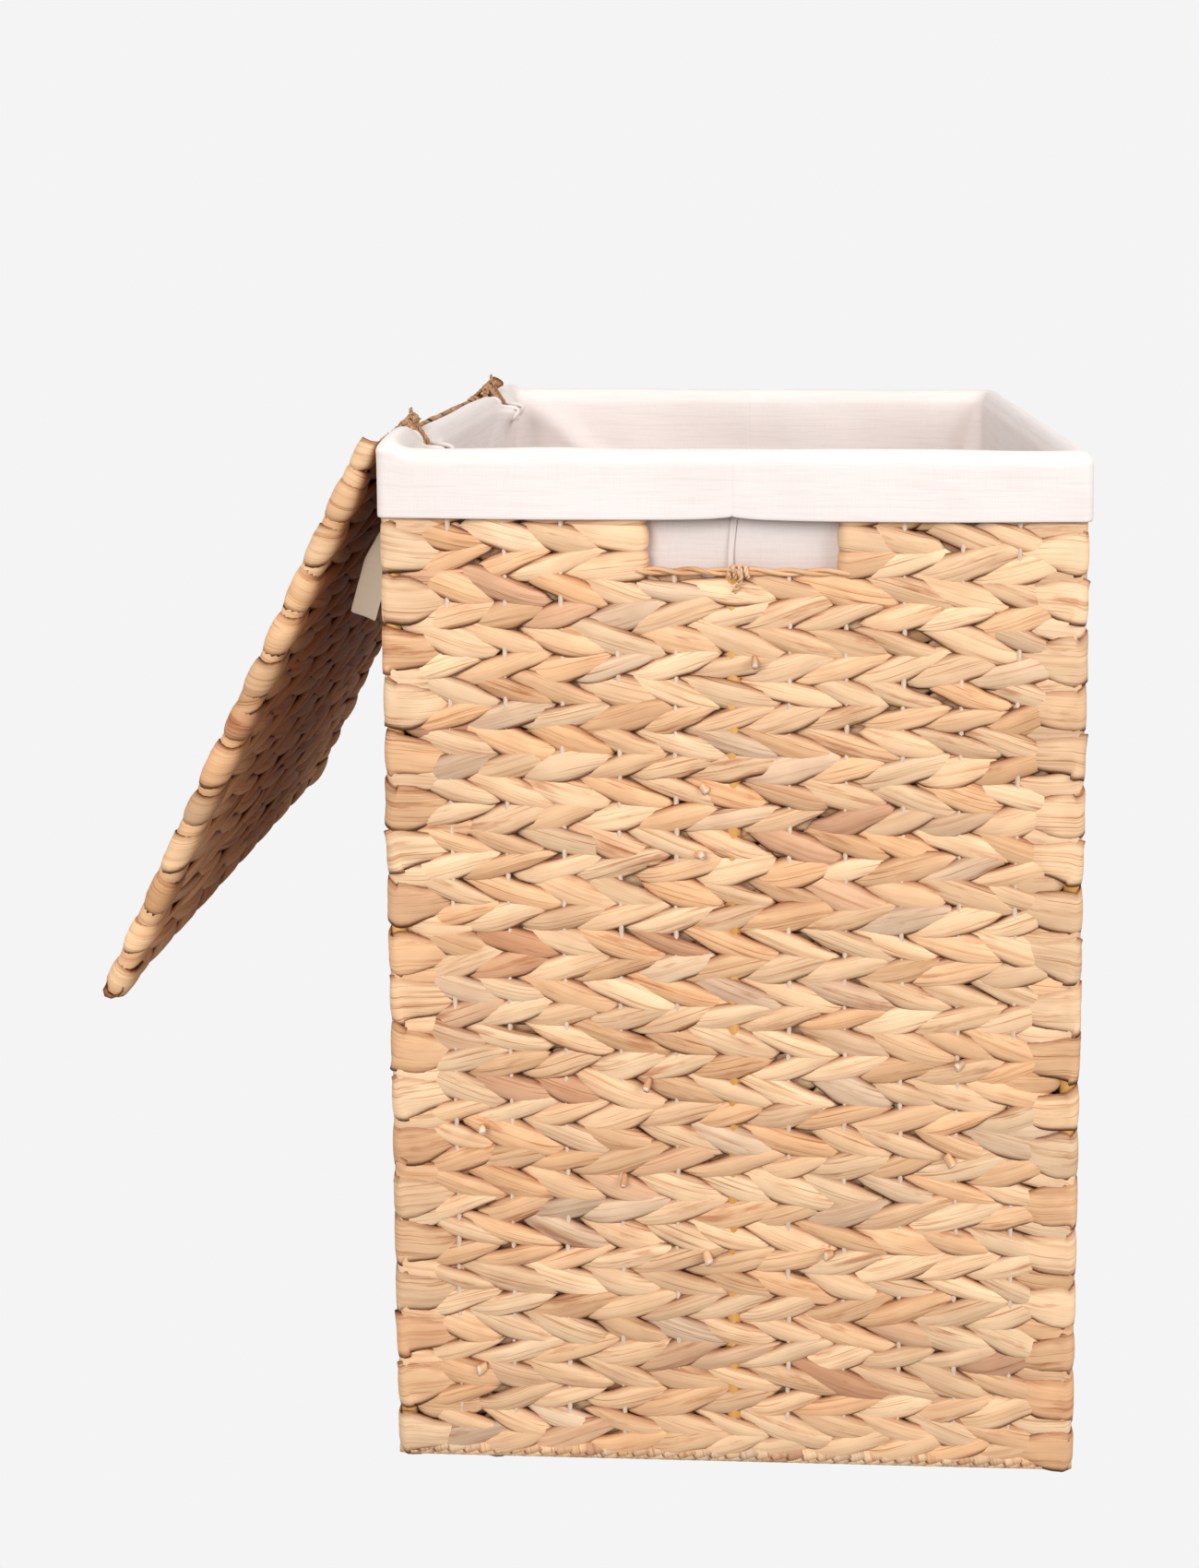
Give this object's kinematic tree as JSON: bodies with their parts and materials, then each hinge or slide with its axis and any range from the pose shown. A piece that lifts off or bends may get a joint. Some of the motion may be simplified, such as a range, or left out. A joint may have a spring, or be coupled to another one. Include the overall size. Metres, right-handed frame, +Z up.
{
  "type": "lidded woven laundry basket",
  "caption": "Tall rectangular woven laundry basket on a cane frame, with a folded-over cotton liner, handle holes and a flat woven lid tied to one end with twine.",
  "frame": {"origin": "middle of the base at floor level, on the underside of the middle slat", "axes": "+Z up, +X along the basket away from the lid's hinge, -Y out of the front handle face"},
  "size_m": [0.5718, 0.3024, 0.6233],
  "materials": {
    "hyacinth": "dry plant fibre, satin",
    "cane": "peeled cane, satin",
    "warp_cord": "twisted paper cord, matt",
    "cotton": "unbleached plain weave, matt",
    "label": "woven tape, faint sheen",
    "twine": "hairy jute, matt"
  },
  "bodies": {
    "basket": {"corner_post_front_left": "cane", "corner_post_front_right": "cane", "corner_post_rear_left": "cane", "corner_post_rear_right": "cane", "middle_post_front": "cane", "handle_sill_front": "cane", "middle_post_rear": "cane", "handle_sill_rear": "cane", "rim_rod_front": "cane", "base_rod_front": "cane", "weave_front": "hyacinth", "warp_cords_front": "warp_cord", "rim_rod_rear": "cane", "base_rod_rear": "cane", "weave_rear": "hyacinth", "warp_cords_rear": "warp_cord", "rim_rod_left": "cane", "base_rod_left": "cane", "weave_left": "hyacinth", "warp_cords_left": "warp_cord", "rim_rod_right": "cane", "base_rod_right": "cane", "weave_right": "hyacinth", "warp_cords_right": "warp_cord", "base_slats": "cane", "base_mat": "hyacinth", "liner_half_left": "cotton", "liner_half_right": "cotton", "liner_floor": "cotton", "care_label": "label", "tie_rim_loops_front": "twine", "tie_knot_front": "twine", "tie_rim_loops_rear": "twine", "tie_knot_rear": "twine"},
    "lid": {"lid_rod_hinge_end": "cane", "lid_rod_free_end": "cane", "lid_rod_front": "cane", "lid_rod_rear": "cane", "lid_warp_cords": "warp_cord", "lid_weave": "hyacinth", "tie_lid_loop_front": "twine", "tie_lid_loop_rear": "twine"}
  },
  "joints": [
    {"name": "lid_hinge", "type": "hinge", "parent": "basket", "child": "lid", "pos_m": [-0.19647, 0, 0.61943], "axis": [0, 1, 0], "range_deg": [0, 244]}
  ]
}
